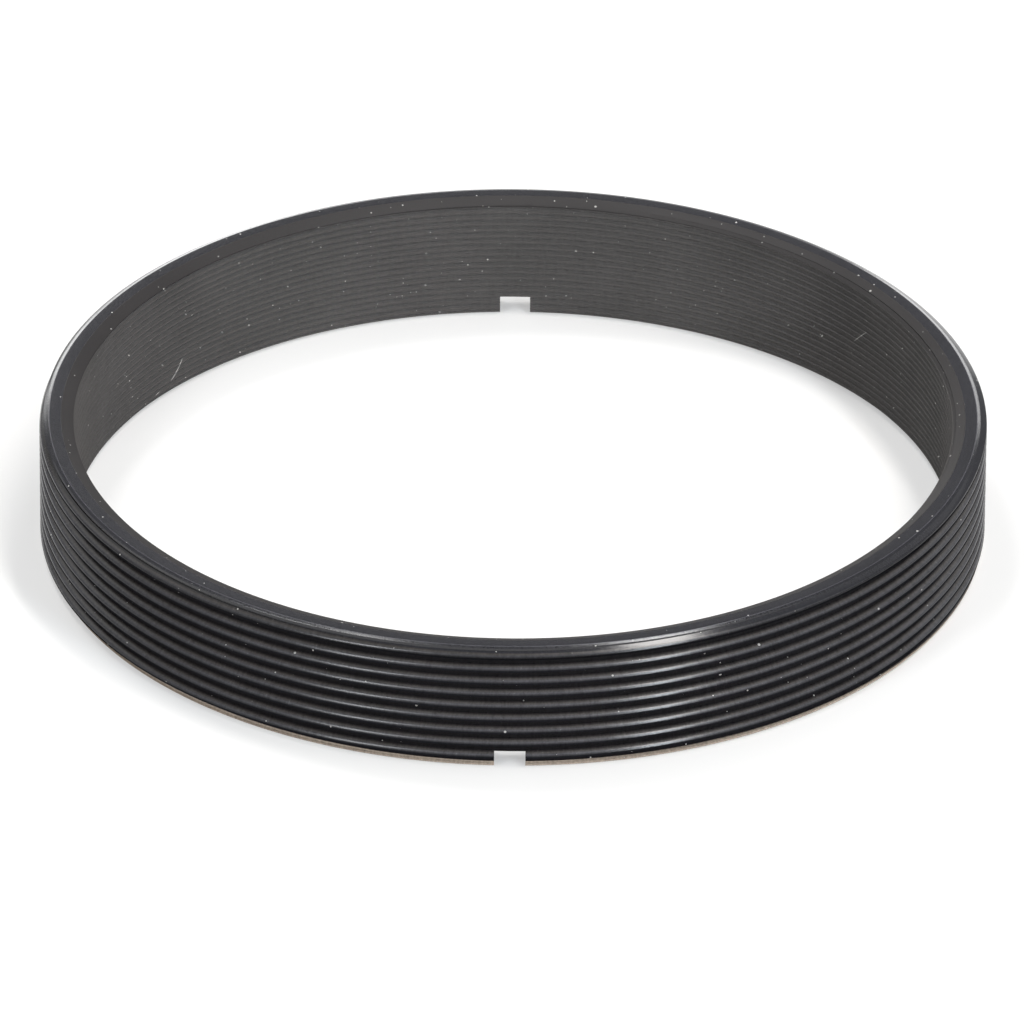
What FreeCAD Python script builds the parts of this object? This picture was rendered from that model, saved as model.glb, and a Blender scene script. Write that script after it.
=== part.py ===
# A lens adapter ring, turned in one piece from aluminium: a coarse thread cut round the
# outside, a bore for a fine thread inside, and a slot milled across the bottom face that
# leaves two notches for a spanner. Millimetres, axis up +Z, origin at the middle of the
# bottom face.
import FreeCAD, Part
import Sketcher
import os

doc = FreeCAD.newDocument("LensAdapterRing")

# Driving dimensions: every size of the ring is set here and nowhere else.
DIMENSIONS = [
    ("height", 9.5, "overall height of the ring"),
    ("outer_diameter", 67.8, "over the crests of the outer thread"),
    ("wall_thickness", 2.45, "from the outer thread's crests to the bore"),
    ("top_outer_bevel_width", 0.7, "how far the bevel reaches in from the top outside edge"),
    ("top_outer_bevel_drop", 0.33, "how far the same bevel falls"),
    ("top_inner_bevel_width", 0.85, "how far the bevel reaches out round the top of the bore"),
    ("top_inner_bevel_drop", 0.35, "how far the same bevel falls"),
    ("bottom_outer_chamfer_width", 0.38, "how far the chamfer round the foot reaches in"),
    ("bottom_outer_chamfer_height", 0.58, "how far the same chamfer rises"),
    ("bottom_inner_chamfer", 0.45, "leg of the chamfer round the bottom of the bore"),
    ("thread_pitch", 1.0, "rise of the outer thread in one turn"),
    ("thread_depth", 0.45, "from crest to root of the outer thread"),
    ("thread_root_width", 0.24, "flat at the bottom of the groove"),
    ("thread_angle", 60.0, "angle between the two flanks, in degrees"),
    ("thread_start", 0.63, "height of the groove's middle where it crosses the +X side"),
    ("tool_clearance", 0.1, "how far the cutting shapes stand out of the metal"),
    ("notch_width", 2.2, "width of the spanner slot"),
    ("notch_depth_front", 1.2, "depth of the notch on the -Y side, up from the bottom face"),
    ("notch_depth_back", 1.5, "depth of the notch on the +Y side, up from the bottom face"),
]

sheet = doc.addObject("Spreadsheet::Sheet", "Sizes")
for row, (alias, value, meaning) in enumerate(DIMENSIONS, start=1):
    sheet.set(f"A{row}", meaning)
    sheet.set(f"B{row}", str(value))
    sheet.setAlias(f"B{row}", alias)
doc.recompute()

# Radii and half widths that several features share, written once.
OUTER_RADIUS = "Sizes.outer_diameter / 2"
BORE_RADIUS = f"{OUTER_RADIUS} - Sizes.wall_thickness"
ROOT_RADIUS = f"{OUTER_RADIUS} - Sizes.thread_depth"
CUTTER_RADIUS = f"{OUTER_RADIUS} + Sizes.tool_clearance"
ROOT_HALF_WIDTH = "Sizes.thread_root_width / 2"
CUTTER_HALF_WIDTH = (
    f"{ROOT_HALF_WIDTH} + (Sizes.thread_depth + Sizes.tool_clearance)"
    " * tan(Sizes.thread_angle / 2 * 1deg)"
)
# The groove starts two turns below the bottom face, so it runs out through both ends.
GROOVE_START = "Sizes.thread_start - 2 * Sizes.thread_pitch"
GROOVE_RISE = "Sizes.height + 4 * Sizes.thread_pitch"


def origin_feature(body, role):
    return next(item for item in body.Origin.OriginFeatures if item.Role == role)


def outline(body, name, plane, corners):
    """A closed polygon on one of the body's own planes, each corner held by two sizes."""
    sketch = body.newObject("Sketcher::SketchObject", name)
    sketch.AttachmentSupport = [(origin_feature(body, plane), "")]
    sketch.MapMode = "FlatFace"
    points = [
        FreeCAD.Vector(float(sheet.evalExpression(x)), float(sheet.evalExpression(y)), 0)
        for x, y in corners
    ]
    for start, end in zip(points, points[1:] + points[:1]):
        sketch.addGeometry(Part.LineSegment(start, end), False)
    for line in range(len(corners)):
        following = (line + 1) % len(corners)
        sketch.addConstraint(Sketcher.Constraint("Coincident", line, 2, following, 1))
    for line, (x, y) in enumerate(corners):
        for axis, size in (("DistanceX", x), ("DistanceY", y)):
            start = points[line].x if axis == "DistanceX" else points[line].y
            held = sketch.addConstraint(Sketcher.Constraint(axis, -1, 1, line, 1, start))
            sketch.setExpression(f"Constraints[{held}]", size)
    return sketch


ring = doc.addObject("PartDesign::Body", "AdapterRing")
ring.Label = "adapter_ring"

# The turned blank: the wall's section, bevelled at all four edges, spun round the axis.
section = outline(ring, "WallSection", "XZ_Plane", [
    (f"{BORE_RADIUS} + Sizes.bottom_inner_chamfer", "0"),
    (f"{OUTER_RADIUS} - Sizes.bottom_outer_chamfer_width", "0"),
    (OUTER_RADIUS, "Sizes.bottom_outer_chamfer_height"),
    (OUTER_RADIUS, "Sizes.height - Sizes.top_outer_bevel_drop"),
    (f"{OUTER_RADIUS} - Sizes.top_outer_bevel_width", "Sizes.height"),
    (f"{BORE_RADIUS} + Sizes.top_inner_bevel_width", "Sizes.height"),
    (BORE_RADIUS, "Sizes.height - Sizes.top_inner_bevel_drop"),
    (BORE_RADIUS, "Sizes.bottom_inner_chamfer"),
])
blank = ring.newObject("PartDesign::Revolution", "TurnedBlank")
blank.Profile = section
blank.ReferenceAxis = (origin_feature(ring, "Z_Axis"), [""])
blank.Angle = 360
doc.recompute()

# The spanner slot, milled once across the bottom face along Y. Its floor runs a little out
# of true, so the notch it leaves on the +Y side is the deeper one.
slot_outline = outline(ring, "SlotOutline", "YZ_Plane", [
    (f"-({CUTTER_RADIUS})", "-Sizes.tool_clearance"),
    (CUTTER_RADIUS, "-Sizes.tool_clearance"),
    (CUTTER_RADIUS, "Sizes.notch_depth_back"),
    (f"-({CUTTER_RADIUS})", "Sizes.notch_depth_front"),
])
doc.recompute()
slot = ring.newObject("PartDesign::Pocket", "SpannerSlot")
slot.Profile = slot_outline
slot.Type = "Length"
slot.SideType = "Symmetric"
slot.setExpression("Length", "Sizes.notch_width")
doc.recompute()

# The outer thread: one right-hand groove with a flat root, swept up a helix. What stands
# between its turns are the crests, which stay on the blank's own cylinder.
groove_section = outline(ring, "GrooveSection", "XZ_Plane", [
    (ROOT_RADIUS, f"{GROOVE_START} - {ROOT_HALF_WIDTH}"),
    (CUTTER_RADIUS, f"{GROOVE_START} - ({CUTTER_HALF_WIDTH})"),
    (CUTTER_RADIUS, f"{GROOVE_START} + ({CUTTER_HALF_WIDTH})"),
    (ROOT_RADIUS, f"{GROOVE_START} + {ROOT_HALF_WIDTH}"),
])
doc.recompute()
thread = ring.newObject("PartDesign::SubtractiveHelix", "OuterThread")
thread.Profile = groove_section
thread.ReferenceAxis = (origin_feature(ring, "Z_Axis"), [""])
thread.Mode = "pitch-height-angle"
thread.setExpression("Pitch", "Sizes.thread_pitch")
thread.setExpression("Height", GROOVE_RISE)
thread.LeftHanded = False
thread.Reversed = False
doc.recompute()

# Nothing is written unless every object is sound and the ring is one solid.
for item in doc.Objects:
    if "Invalid" in item.State or "Error" in item.State:
        raise RuntimeError(f"{item.Label} failed: {item.State}")
if ring.Shape.isNull() or not ring.Shape.isValid() or len(ring.Shape.Solids) != 1:
    raise RuntimeError("adapter_ring isn't one sound solid")
for before, after in ((blank, slot), (slot, thread)):
    if after.Shape.Volume >= before.Shape.Volume:
        raise RuntimeError(f"{after.Label} removed no metal")

os.makedirs("parts", exist_ok=True)
ring.Shape.exportStep(f"parts/{ring.Label}.step")
print(f"{ring.Label}: {ring.Shape.Volume:.1f} mm3, box {ring.Shape.BoundBox}")
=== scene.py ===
import math

import bpy
from mathutils import Matrix, Vector


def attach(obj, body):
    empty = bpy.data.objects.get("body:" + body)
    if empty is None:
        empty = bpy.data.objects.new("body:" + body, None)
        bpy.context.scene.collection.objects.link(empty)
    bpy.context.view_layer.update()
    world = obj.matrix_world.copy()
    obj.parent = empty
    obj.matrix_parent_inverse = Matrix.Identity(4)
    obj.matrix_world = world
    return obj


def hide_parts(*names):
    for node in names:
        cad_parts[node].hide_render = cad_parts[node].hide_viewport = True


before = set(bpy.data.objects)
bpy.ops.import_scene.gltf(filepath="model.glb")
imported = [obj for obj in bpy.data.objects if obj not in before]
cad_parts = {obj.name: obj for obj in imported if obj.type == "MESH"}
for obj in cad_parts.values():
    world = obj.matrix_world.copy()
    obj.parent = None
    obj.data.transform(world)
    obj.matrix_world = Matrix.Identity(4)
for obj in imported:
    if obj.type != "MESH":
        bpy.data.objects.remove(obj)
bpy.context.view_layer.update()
print("packed ring loaded")


class Wire:
    # one value in a node tree; arithmetic on it adds Math nodes
    def __init__(self, tree, socket=None):
        self.tree = tree
        self.socket = socket

    def node(self, kind, settings=None, inputs=None, output=0):
        made = self.tree.nodes.new(kind)
        for name, value in (settings or {}).items():
            if name == "stops":
                ramp = made.color_ramp.elements
                while len(ramp) < len(value):
                    ramp.new(0.5)
                for stop, (place, colour) in zip(ramp, value):
                    stop.position, stop.color = place, colour
            elif name == "choices":
                while len(made.index_switch_items) < value:
                    made.index_switch_items.new()
            else:
                setattr(made, name, value)
        for key, value in (inputs or {}).items():
            if isinstance(value, Wire):
                self.tree.links.new(value.socket, made.inputs[key])
            elif value is not None:
                made.inputs[key].default_value = value
        return None if output is None else Wire(self.tree, made.outputs[output])

    def beside(self, name):
        return Wire(self.tree, self.socket.node.outputs[name])

    def math(self, operation, *values):
        return self.node("ShaderNodeMath", {"operation": operation}, dict(enumerate(values)))

    def __add__(self, other): return self.math("ADD", self, other)
    def __radd__(self, other): return self.math("ADD", other, self)
    def __sub__(self, other): return self.math("SUBTRACT", self, other)
    def __rsub__(self, other): return self.math("SUBTRACT", other, self)
    def __mul__(self, other): return self.math("MULTIPLY", self, other)
    def __rmul__(self, other): return self.math("MULTIPLY", other, self)
    def __truediv__(self, other): return self.math("DIVIDE", self, other)
    def __neg__(self): return self.math("MULTIPLY", self, -1.0)
    def __abs__(self): return self.math("ABSOLUTE", self)

    def root(self):
        return self.math("SQRT", self)

    def between(self, low, high):
        # 0 below low, 1 above high, smooth in the middle
        return self.node("ShaderNodeMapRange", {"interpolation_type": "SMOOTHSTEP"},
                         {"Value": self, "From Min": low, "From Max": high})


ring = {
    "Height": 9.5,                 # millimetres here, metres in the finished mesh
    "Outer radius": 33.9,
    "Bore radius": 31.45,
    "Top outer bevel width": 0.7,
    "Top outer bevel drop": 0.33,
    "Top inner bevel width": 0.85,
    "Top inner bevel drop": 0.35,
    "Bottom outer chamfer width": 0.38,
    "Bottom outer chamfer height": 0.58,
    "Bottom inner chamfer": 0.45,
    "Edge rounding": 0.07,
    "Outer pitch": 1.0,
    "Outer depth": 0.45,
    "Outer root width": 0.24,
    "Outer start": 0.63,
    "Outer crest rounding": 0.3,
    "Inner pitch": 0.5,
    "Inner depth": 0.27,
    "Inner root width": 0.08,
    "Inner start": 0.2,
    "Notch width": 2.2,
    "Notch depth front": 1.2,
    "Notch depth back": 1.5,
}
cutting = {
    "segments per turn": 288,
    "points on an edge": 3,
    "points on a crest": 4,
    "flank tilt": 30.0,            # degrees
    "bevel knee": (0.64, 0.2),     # where the top outer bevel bends, in its own widths and drops
    "skim": 0.004,                 # how far the cutter's shoulders stand off the crests, in mm
    "shoulder": 0.1,               # thickness and reach of the shoulders, in pitches
    "reach down": 0.565,
    "reach up": 0.41,
    "upper crest edge": 1.0,       # share of the crest rounding that each edge gets
    "lower crest edge": 0.16,
    "turns below": 2.0,            # the groove runs this far past the bottom and the top
    "weld": 0.0005,
    "crease": 32.0,                # edges sharper than this, in degrees, stay crisp
}


def closedOutline(wire, corners, rounding=None, points=2, shares=None):
    # a closed curve through corners given as (outwards, upwards); shares rounds only those named
    index = wire.node("GeometryNodeInputIndex")
    choices = {0: index}
    for k, (outwards, upwards) in enumerate(corners):
        choices[k + 1] = wire.node("ShaderNodeCombineXYZ", None, {"X": outwards, "Y": -upwards})
    place = wire.node("GeometryNodeIndexSwitch",
                      {"data_type": "VECTOR", "choices": len(corners)}, choices)
    line = wire.node("GeometryNodeMeshLine", None, {"Count": len(corners)})
    curve = wire.node("GeometryNodeMeshToCurve", None, {"Mesh": line})
    curve = wire.node("GeometryNodeSetPosition", None, {"Geometry": curve, "Position": place})
    curve = wire.node("GeometryNodeSetSplineCyclic", None, {"Geometry": curve, "Cyclic": True})
    if rounding is None:
        return curve
    if shares is not None:
        upper, lower = [index.math("COMPARE", index, corner, 0.1) * share
                        for corner, share in shares]
        rounding = rounding * (upper + lower)
    return wire.node("GeometryNodeFilletCurve", {"mode": "POLY"}, {
        "Curve": curve, "Count": points, "Radius": rounding, "Limit Radius": True})


def turned(wire, radius, outline):
    # a section spun round the axis; its outwards values count from radius
    path = wire.node("GeometryNodeCurvePrimitiveCircle", None,
                     {"Resolution": cutting["segments per turn"], "Radius": radius})
    return wire.node("GeometryNodeCurveToMesh", None, {"Curve": path, "Profile Curve": outline})


def threadCutter(wire, side, radius, pitch, depth, rootWidth, start, height, rounding=None):
    # what a threading tool takes away: side is 1 for a thread outside, -1 for one inside
    clear, skim = cutting["shoulder"] * pitch, cutting["skim"]
    down, up = cutting["reach down"] * pitch, cutting["reach up"] * pitch
    half = rootWidth * 0.5
    mouth = half + (depth + skim) * math.tan(math.radians(cutting["flank tilt"]))
    corners = [(clear * side, -down), (skim * side, -down), (skim * side, -mouth),
               (-depth * side, -half), (-depth * side, half),
               (skim * side, mouth), (skim * side, up), (clear * side, up)]
    mouthCorners = ((2, cutting["upper crest edge"]), (5, cutting["lower crest edge"]))
    outline = closedOutline(wire, corners[::side], rounding, cutting["points on a crest"],
                            mouthCorners)
    turns = height / pitch + cutting["turns below"] * 2.0
    path = wire.node("GeometryNodeCurveSpiral", None, {
        "Resolution": cutting["segments per turn"], "Rotations": turns,
        "Start Radius": radius, "End Radius": radius, "Height": turns * pitch, "Reverse": True})
    path = wire.node("GeometryNodeSetCurveNormal", {"mode": "Z_UP"}, {"Curve": path})
    groove = wire.node("GeometryNodeCurveToMesh", None, {
        "Curve": path, "Profile Curve": outline, "Fill Caps": True})
    lift = wire.node("ShaderNodeCombineXYZ", None, {"Z": start - pitch * cutting["turns below"]})
    return wire.node("GeometryNodeTransform", None, {"Geometry": groove, "Translation": lift})


def slotCutter(wire, width, front, back, radius):
    # the spanner slot, tilted a little so that the notch at the back is the deeper one
    size = wire.node("ShaderNodeCombineXYZ", None, {
        "X": width, "Y": radius * 2.2, "Z": front + back})
    tilt = wire.node("ShaderNodeCombineXYZ", None, {"X": (back - front) / (radius * 2.0)})
    slot = wire.node("GeometryNodeMeshCube", None, {"Size": size})
    return wire.node("GeometryNodeTransform", None, {"Geometry": slot, "Rotation": tilt})


def ringTree(material):
    tree = bpy.data.node_groups.new("turnedAndThreadedRing", "GeometryNodeTree")
    tree.interface.new_socket("Ring", in_out="OUTPUT", socket_type="NodeSocketGeometry")
    for name, value in ring.items():
        made = tree.interface.new_socket(name, in_out="INPUT", socket_type="NodeSocketFloat")
        made.default_value = value
    wire = Wire(tree)
    size = wire.node("NodeGroupInput")
    s = {name: size.beside(name) for name in ring}

    # the blank, as it leaves the lathe
    bore, outer, top = s["Bore radius"] - s["Outer radius"], 0.0, s["Height"]
    kneeWidth, kneeDrop = cutting["bevel knee"]
    section = closedOutline(wire, [
        (bore, s["Bottom inner chamfer"]),
        (bore, top - s["Top inner bevel drop"]),
        (bore + s["Top inner bevel width"], top),
        (outer - s["Top outer bevel width"], top),
        (outer - s["Top outer bevel width"] * kneeWidth, top - s["Top outer bevel drop"] * kneeDrop),
        (outer, top - s["Top outer bevel drop"]),
        (outer, s["Bottom outer chamfer height"]),
        (outer - s["Bottom outer chamfer width"], 0.0),
        (bore + s["Bottom inner chamfer"], 0.0),
    ], s["Edge rounding"], cutting["points on an edge"])
    part = turned(wire, s["Outer radius"], section)

    # the spanner slot and the two threads
    cutters = [
        slotCutter(wire, s["Notch width"], s["Notch depth front"], s["Notch depth back"],
                   s["Outer radius"]),
        threadCutter(wire, 1, s["Outer radius"], s["Outer pitch"], s["Outer depth"],
                     s["Outer root width"], s["Outer start"], top, s["Outer crest rounding"]),
        threadCutter(wire, -1, s["Bore radius"], s["Inner pitch"], s["Inner depth"],
                     s["Inner root width"], s["Inner start"], top),
    ]
    for cutter in cutters:
        part = wire.node("GeometryNodeMeshBoolean", {"operation": "DIFFERENCE", "solver": "MANIFOLD"},
                         {"Mesh 1": part, "Mesh 2": cutter})

    # smooth round the ring, crisp where two cuts meet
    part = wire.node("GeometryNodeMergeByDistance", None,
                     {"Geometry": part, "Distance": cutting["weld"]})
    part = wire.node("GeometryNodeSetShadeSmooth", None, {"Geometry": part, "Shade Smooth": True})
    bend = wire.node("GeometryNodeInputMeshEdgeAngle")
    crisp = bend.math("GREATER_THAN", bend, math.radians(cutting["crease"]))
    part = wire.node("GeometryNodeSetShadeSmooth", {"domain": "EDGE"}, {
        "Geometry": part, "Selection": crisp, "Shade Smooth": False})
    part = wire.node("GeometryNodeTransform", None, {"Geometry": part, "Scale": (0.001, 0.001, 0.001)})
    part = wire.node("GeometryNodeRealizeInstances", None, {"Geometry": part})
    part = wire.node("GeometryNodeSetMaterial", None, {"Geometry": part, "Material": material})
    out = tree.nodes.new("NodeGroupOutput")
    tree.links.new(part.socket, out.inputs["Ring"])
    return tree


def makeRing(material):
    holder = bpy.data.objects.new("threadedRing", bpy.data.meshes.new("threadedRing"))
    bpy.context.scene.collection.objects.link(holder)
    cut = holder.modifiers.new("cutRing", "NODES")
    cut.node_group = ringTree(material)
    for item in cut.node_group.interface.items_tree:
        if item.in_out == "INPUT":
            cut[item.identifier] = ring[item.name]
    view = bpy.context.evaluated_depsgraph_get()
    finished = bpy.data.meshes.new_from_object(holder.evaluated_get(view))
    holder.modifiers.clear()
    holder.data = finished
    finished.name = "threadedRing"
    print(f"ring cut: {len(finished.vertices)} points, {len(finished.polygons)} faces")
    return holder


anodising = {
    "rim colour": (0.0215, 0.0210, 0.0245, 1.0),
    # painted shade and light up the flank: black in the root and low on the flank where shade falls,
    # lighter up the flank with a painted warm-to-cool tint of the lamps, darker again over the crest
    "painted flank shade colours": [             # up the thread's flank, from root to crest
        (0.11, (0.014, 0.013, 0.014, 1.0)),
        (0.22, (0.022, 0.019, 0.019, 1.0)),
        (0.38, (0.043, 0.038, 0.036, 1.0)),
        (0.56, (0.077, 0.070, 0.066, 1.0)),
        (0.84, (0.070, 0.068, 0.074, 1.0)),
        (0.95, (0.030, 0.029, 0.032, 1.0)),
        (0.99, (0.011, 0.011, 0.013, 1.0)),
    ],
    "bore colour": (0.079, 0.0745, 0.0720, 1.0),
    "inner bevel colour": (0.0265, 0.0240, 0.0238, 1.0),
    # painted reflection: the floor's warm light on the bottom chamfer and the lowest groove
    "painted floor reflection colour": (0.42, 0.34, 0.27, 1.0),
    "floor reflection band height": 0.35,           # the band round the bottom that carries the painted floor reflection, in mm
    "roughness": 0.22,
    "bore roughness": 0.5,
    "bevel roughness": -0.09,      # added on the top outer bevel
    "specular": 0.5,
    "grain scale": 6.5,            # cells to a millimetre, as in the next two
    "patch scale": 0.12,
    "chatter scale": (4.5, 1.2, 0.9),   # round the ring, outwards, upwards
    "grain height": 0.000008,      # metres
    "grain tone": 0.8,             # how much each one lightens and darkens the colour
    "patch tone": 0.44,
    "chatter tone": 0.6,
    # painted highlight on the edge between the top flat and the outer bevel
    "painted edge highlight tone": 1.2,
}
dust = {
    "colour": (0.62, 0.60, 0.57, 1.0),
    "specks": [                    # cells to a millimetre, least size, spread of size, rarity
        (0.8, 0.02, 0.06, 0.45),
        (2.1, 0.03, 0.10, 0.62),
    ],
    "rarer outside": 0.22,
    "hairs": [                     # round the bore in degrees, height, length, lean
        (141.2, 1.75, 2.2, 113.0),
        (145.5, 0.8, 0.6, 130.0),
        (37.0, 5.4, 1.3, -40.0),
    ],
    "hair width": 0.035,
    "hair strength": 0.7,
    "hair slant": 0.573,           # follows the camera's height: the tangent of 29.8 degrees
}


def dustMask(wire, mm, x, y, z, inBore, patches):
    # few large specks, many small ones that gather in places, and the hairs on the bore
    mask = 0.0
    for scale, size, spread, rarity in dust["specks"]:
        cells = wire.node("ShaderNodeTexVoronoi", None, {"Vector": mm, "Scale": scale})
        chance = wire.node("ShaderNodeSeparateXYZ", None, {0: cells.beside("Color")})
        speck = (size + chance.beside("Y") * spread - cells).between(-0.015, 0.015)
        rare = (1.0 - inBore) * dust["rarer outside"]
        gather = (chance + (patches - 0.5) * 0.5 - rarity - rare).between(0.0, 0.02)
        mask = speck.math("MAXIMUM", mask, speck * gather * (0.35 + chance.beside("Z") * 0.65))
    for degrees, height, length, lean in dust["hairs"]:
        swing, tilt = math.radians(degrees), math.radians(lean)
        along = ring["Bore radius"] * math.cos(swing) - x
        up = z - height + (y - ring["Bore radius"] * math.sin(swing)) * dust["hair slant"]
        run = along * math.cos(tilt) + up * math.sin(tilt)
        off = up * math.cos(tilt) - along * math.sin(tilt) + run * run * 0.06
        line = (dust["hair width"] - abs(off)).between(0.0, 0.02)
        line = line * (length * 0.5 - abs(run)).between(0.0, 0.3) * inBore
        mask = mask.math("MAXIMUM", mask, line * dust["hair strength"])
    return mask


def anodisedFinish():
    material = bpy.data.materials.new("blackAnodised")
    material.use_nodes = True
    material.node_tree.nodes.clear()
    wire = Wire(material.node_tree)
    look = anodising

    # millimetres on the ring, and where a point lies on it
    place = wire.node("ShaderNodeTexCoord", None, None, "Object")
    facing = wire.node("ShaderNodeSeparateXYZ", None, {0: place.beside("Normal")}).beside("Z")
    mm = wire.node("ShaderNodeVectorMath", {"operation": "SCALE"}, {0: place, "Scale": 1000.0})
    x = wire.node("ShaderNodeSeparateXYZ", None, {0: mm})
    y, z = x.beside("Y"), x.beside("Z")
    radius = (x * x + y * y).root()
    around = y.math("ARCTAN2", y, x) * ring["Outer radius"]

    # masks for the parts of the surface, each 0 or 1 with a soft edge
    rimRadius = ring["Outer radius"] - ring["Top outer bevel width"]
    rootRadius = ring["Outer radius"] - ring["Outer depth"]
    innerSide = ring["Bore radius"] + ring["Top inner bevel width"] + 0.05
    bevelFoot = ring["Height"] - ring["Top outer bevel drop"]
    inBore = (innerSide - radius).between(-0.02, 0.02)
    onTop = (z + inBore * 0.13).between(bevelFoot - 0.03, bevelFoot + 0.01)
    # painted reflection of the floor on a band round the bottom
    floorReflectionBand = (look["floor reflection band height"] - z).between(0.0, 0.06) * radius.between(33.0, 33.1)
    onBevel = radius.between(rimRadius, rimRadius + 0.1) * onTop
    # painted highlight along the edge between the top flat and the outer bevel
    paintedEdgeHighlight = (0.05 - abs(radius - rimRadius)).between(0.0, 0.03) * onTop
    # painted shade: the flank just under the top bevel is darkened
    shadeUnderBevel = z.between(8.65, 8.85) * (1.0 - onTop) * (1.0 - inBore)
    # painted light: lifts the shade in the bore's thread grooves
    paintedGrooveLight = radius.between(ring["Bore radius"] + 0.03, ring["Bore radius"] + 0.25)
    paintedGrooveLight = paintedGrooveLight * inBore * (1.0 - onTop)
    steep = (0.34 - facing).between(0.0, 0.17)
    inRoot = (rootRadius + 0.035 - radius).between(0.0, 0.03)
    matt = facing.math("MAXIMUM", steep, inRoot) * (1.0 - inBore) * (1.0 - onTop) * (1.0 - floorReflectionBand)

    # grain of the anodised skin, tool chatter round the ring, and slow patches
    across, outwards, upwards = look["chatter scale"]
    grain = wire.node("ShaderNodeTexNoise", None,
                      {"Vector": mm, "Scale": look["grain scale"], "Detail": 3.0})
    lathe = wire.node("ShaderNodeCombineXYZ", None, {
        "X": around * across, "Y": radius * outwards, "Z": z * upwards})
    chatter = wire.node("ShaderNodeTexNoise", None, {"Vector": lathe, "Scale": 1.0, "Detail": 2.0})
    patches = wire.node("ShaderNodeTexNoise", None,
                        {"Vector": mm, "Scale": look["patch scale"], "Detail": 3.0})
    specks = dustMask(wire, mm, x, y, z, inBore, patches)
    chatter = (chatter - 0.5) * (1.0 - onTop * 0.85)
    grain = grain - 0.5

    # the colour, part by part, then its tone with painted shade and light, and the dust on it
    # painted shade: the flank ramp darkens the roots and the crests and lights the middle of the flank
    upFlank = (radius - (rootRadius - 0.05)) * 2.0
    colour = wire.node("ShaderNodeValToRGB", {"stops": look["painted flank shade colours"]}, {"Fac": upFlank})
    for mask, paint in ((onTop, look["rim colour"]), (floorReflectionBand, look["painted floor reflection colour"]),
                        (inBore, look["bore colour"]), (inBore * onTop, look["inner bevel colour"])):
        colour = wire.node("ShaderNodeMix", {"data_type": "RGBA"}, {0: mask, 6: colour, 7: paint}, 2)
    mottle = chatter * look["chatter tone"] + grain * look["grain tone"]
    tone = 1.0 - look["patch tone"] * 0.5 + patches * look["patch tone"]
    tone = tone + mottle * (1.0 - inBore * 0.5)
    # painted light lifts the bore's grooves; painted shade darkens the flank under the top bevel
    tone = tone * (1.0 + paintedGrooveLight * 0.75) * (1.0 - shadeUnderBevel * 0.5)
    # painted shade darkens the outer bevel; a painted highlight lightens the edge between it and the
    # top flat
    tone = tone * (1.0 - onBevel * 0.12) * (1.0 + paintedEdgeHighlight * look["painted edge highlight tone"])
    colour = wire.node("ShaderNodeVectorMath", {"operation": "SCALE"}, {0: colour, "Scale": tone})
    colour = wire.node("ShaderNodeMix", {"data_type": "RGBA"},
                       {0: specks, 6: colour, 7: dust["colour"]}, 2)

    # glossy skin, but matt in the roots, down the crests and in most of the bore
    roughness = look["roughness"] + inBore * (look["bore roughness"] - look["roughness"])
    roughness = roughness + onBevel * look["bevel roughness"]
    roughness = roughness + grain * 0.16 + chatter * 0.14 + specks * 0.4
    relief = wire.node("ShaderNodeBump", None, {
        "Strength": 0.6, "Distance": look["grain height"],
        "Height": grain * 0.5 + chatter + specks * 2.0})
    skin = wire.node("ShaderNodeBsdfPrincipled", None, {
        "Base Color": colour, "Roughness": roughness, "Specular IOR Level": look["specular"],
        "Normal": relief})
    rubbed = wire.node("ShaderNodeBsdfDiffuse", None, {"Color": colour})
    both = wire.node("ShaderNodeMixShader", None, {
        0: matt + inBore * (0.85 - onTop * 0.25), 1: skin, 2: rubbed})
    wire.node("ShaderNodeOutputMaterial", None, {"Surface": both}, None)
    return material


threadedRing = makeRing(anodisedFinish())
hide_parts("adapter_ring")
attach(threadedRing, "root")
print("ring placed")


studio = {
    "paper colour": (0.85, 0.84, 0.825, 1.0),
    "floor glow": 0.38,            # how much of its white the floor gives off near the ring
    "far glow": 0.75,              # the same far from it, and on the backdrop
    # painted shade: the floor glows less near the ring, so it reads darker round it
    "glow grows from, to": (0.07, 0.22),
    "floor size": (6.0, 6.0, 1.0),
    "backdrop size": (2.2, 1.1, 1.0),
    "air colour": (0.94, 0.97, 1.0, 1.0),
    "air strength": 0.24,
    "softboxes": [                 # name, both ends in metres, width, watts, colour
        ("keyTall", (0.32, -0.34, 0.60), (0.18, 0.07, 0.73), 0.11, 2.7, (1.0, 0.97, 0.94)),
        ("keyLow", (0.40, -0.68, 0.12), (0.33, -0.35, 0.58), 0.07, 2.9, (0.86, 0.93, 1.0)),
        ("keyBack", (0.19, 0.08, 0.73), (0.085, 0.42, 0.655), 0.06, 1.0, (1.0, 1.0, 1.0)),
        ("overhead", (-0.24, 0.22, 0.73), (-0.15, 0.34, 0.71), 0.16, 1.8, (1.0, 1.0, 1.0)),
        ("fillLeft", (-0.47, -0.55, 0.34), (-0.26, -0.31, 0.69), 0.14, 1.8, (0.95, 0.98, 1.0)),
        ("backLeft", (-0.13, 0.25, 0.72), (-0.10, 0.42, 0.655), 0.04, 0.15, (1.0, 1.0, 1.0)),
        ("rimRight", (0.14, 0.78, 0.12), (0.235, 0.66, 0.36), 0.06, 0.2, (1.0, 1.0, 1.0)),
        ("rimLeft", (-0.056, 0.797, 0.042), (-0.20, 0.70, 0.34), 0.12, 0.5, (1.0, 1.0, 1.0)),
        ("sideLeft", (-0.30, 0.73, 0.12), (-0.28, 0.70, 0.34), 0.22, 0.3, (1.0, 1.0, 1.0)),
        ("panelLeft", (-0.55, 0.48, 0.32), (-0.29, 0.25, 0.70), 0.32, 0.3, (1.0, 1.0, 1.0)),
        ("panelRight", (0.55, 0.48, 0.32), (0.29, 0.25, 0.70), 0.32, 0.15, (1.0, 1.0, 1.0)),
    ],
}


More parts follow.
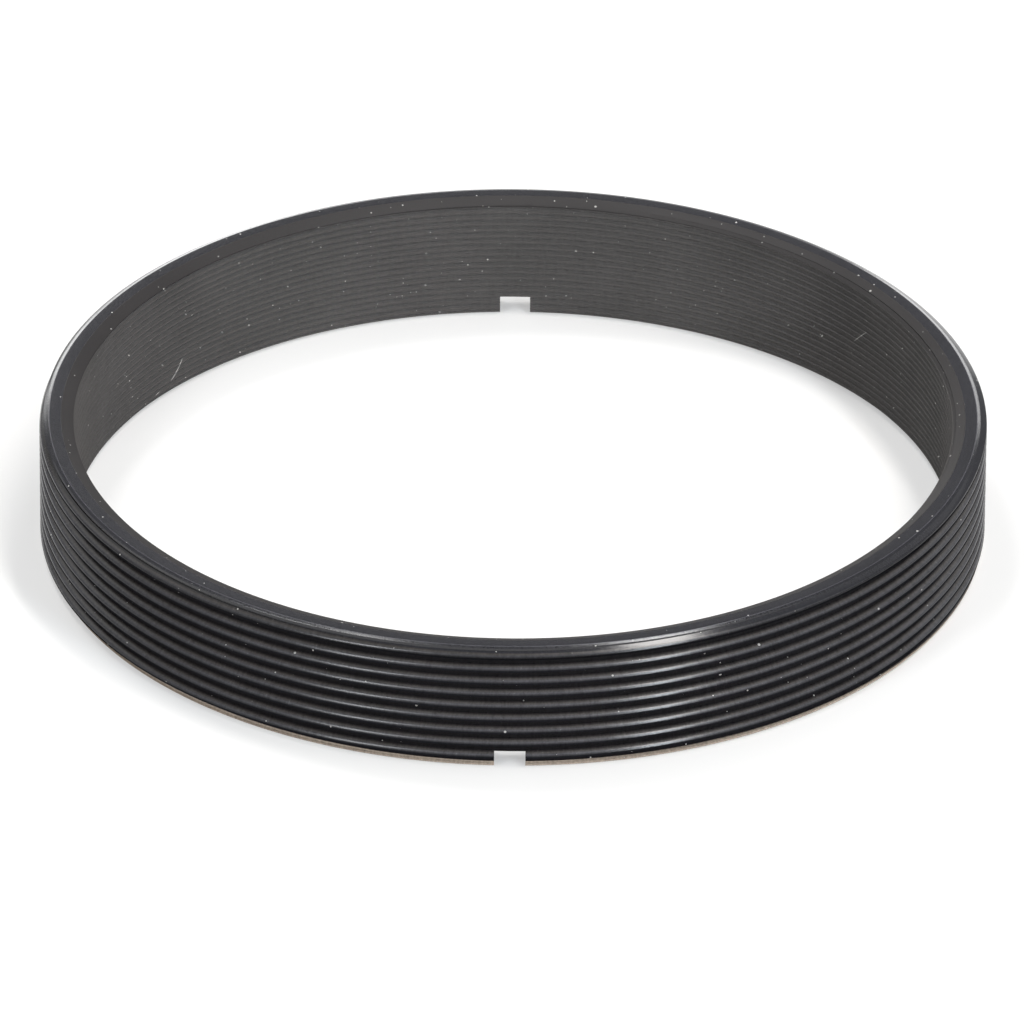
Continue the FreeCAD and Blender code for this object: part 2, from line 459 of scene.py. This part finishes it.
def paleSheet(name, size, place, tilt, nearGlow):
    bpy.ops.mesh.primitive_plane_add(size=1.0, location=place, rotation=(tilt, 0.0, 0.0))
    sheet = bpy.context.object
    sheet.name = name
    sheet.data.transform(Matrix.Diagonal((*size, 1.0)))
    material = bpy.data.materials.new("palePaper")
    material.use_nodes = True
    material.node_tree.nodes.clear()
    wire = Wire(material.node_tree)
    ray = wire.node("ShaderNodeLightPath", None, None, "Is Camera Ray")
    seen = ray.math("MAXIMUM", ray, ray.beside("Is Glossy Ray"))
    seen = seen.math("MAXIMUM", seen, ray.beside("Is Transmission Ray"))
    paper = wire.node("ShaderNodeBsdfDiffuse", None, {"Color": studio["paper colour"]})
    glow = wire.node("ShaderNodeEmission", None, {"Color": (1.0, 1.0, 1.0, 1.0), "Strength": 1.0})
    spot = wire.node("ShaderNodeTexCoord", None, None, "Object")
    distance = wire.node("ShaderNodeVectorMath", {"operation": "LENGTH"}, {0: spot}, "Value")
    # painted shade: less glow near the ring lets the floor read darker round it
    far = distance.between(*studio["glow grows from, to"])
    share = nearGlow + far * (studio["far glow"] - nearGlow)
    both = wire.node("ShaderNodeMixShader", None, {0: seen * share, 1: paper, 2: glow})
    wire.node("ShaderNodeOutputMaterial", None, {"Surface": both}, None)
    sheet.data.materials.append(material)


def softbox(name, oneEnd, otherEnd, width, power, colour):
    # a strip of light between two points, turned to face the ring
    oneEnd, otherEnd = Vector(oneEnd), Vector(otherEnd)
    lamp = bpy.data.lights.new(name, "AREA")
    lamp.shape, lamp.size, lamp.size_y = "RECTANGLE", width, (otherEnd - oneEnd).length
    lamp.energy, lamp.color = power, colour
    stand = bpy.data.objects.new(name, lamp)
    bpy.context.scene.collection.objects.link(stand)
    middle = (oneEnd + otherEnd) * 0.5
    back = middle.normalized()
    side = (otherEnd - oneEnd).cross(back).normalized()
    turn = Matrix((side, back.cross(side), back)).transposed().to_4x4()
    turn.translation = middle
    stand.matrix_world = turn


def skyLight():
    world = bpy.data.worlds.new("studioAir")
    bpy.context.scene.world = world
    world.use_nodes = True
    air = world.node_tree.nodes["Background"]
    air.inputs["Color"].default_value = studio["air colour"]
    air.inputs["Strength"].default_value = studio["air strength"]


paleSheet("paleFloor", studio["floor size"], (0.0, 0.0, -0.00002), 0.0, studio["floor glow"])
paleSheet("paleBackdrop", studio["backdrop size"], (0.0, 2.8, 0.55), math.radians(90.0),
          studio["far glow"])
skyLight()
for box in studio["softboxes"]:
    softbox(*box)
print("lamps and floor set")


view = {
    "lens": 587.7,                 # a long lens from 1.2 m, as the nearly parallel picture shows
    "elevation": 29.79,            # degrees, as are the next two
    "roll": 0.386,
    "swing": 0.14,
    "distance": 35.56,             # in ring radii, as are the next two
    "aim right": 0.0031,
    "aim up": 0.0293,
}


def photographersCamera():
    camera = bpy.data.cameras.new("photographersCamera")
    camera.sensor_width, camera.lens = 36.0, view["lens"]
    camera.clip_start, camera.clip_end = 0.1, 20.0
    tripod = bpy.data.objects.new("photographersCamera", camera)
    bpy.context.scene.collection.objects.link(tripod)
    tilt = math.radians(view["elevation"])
    rise, run = math.sin(tilt), math.cos(tilt)
    turn = Matrix(((1, 0, 0), (0, rise, run), (0, -run, rise))).transposed().to_4x4()
    turn = turn @ Matrix.Rotation(math.radians(view["roll"]), 4, "Z")
    away, right, up = view["distance"], view["aim right"], view["aim up"]
    stand = Vector((right, up * rise - away * run, up * run + away * rise))
    turn.translation = stand * ring["Outer radius"] * 0.001
    tripod.matrix_world = Matrix.Rotation(math.radians(view["swing"]), 4, "Z") @ turn
    bpy.context.scene.camera = tripod


photographersCamera()
bpy.context.scene.view_settings.view_transform = "Standard"
print("camera set")
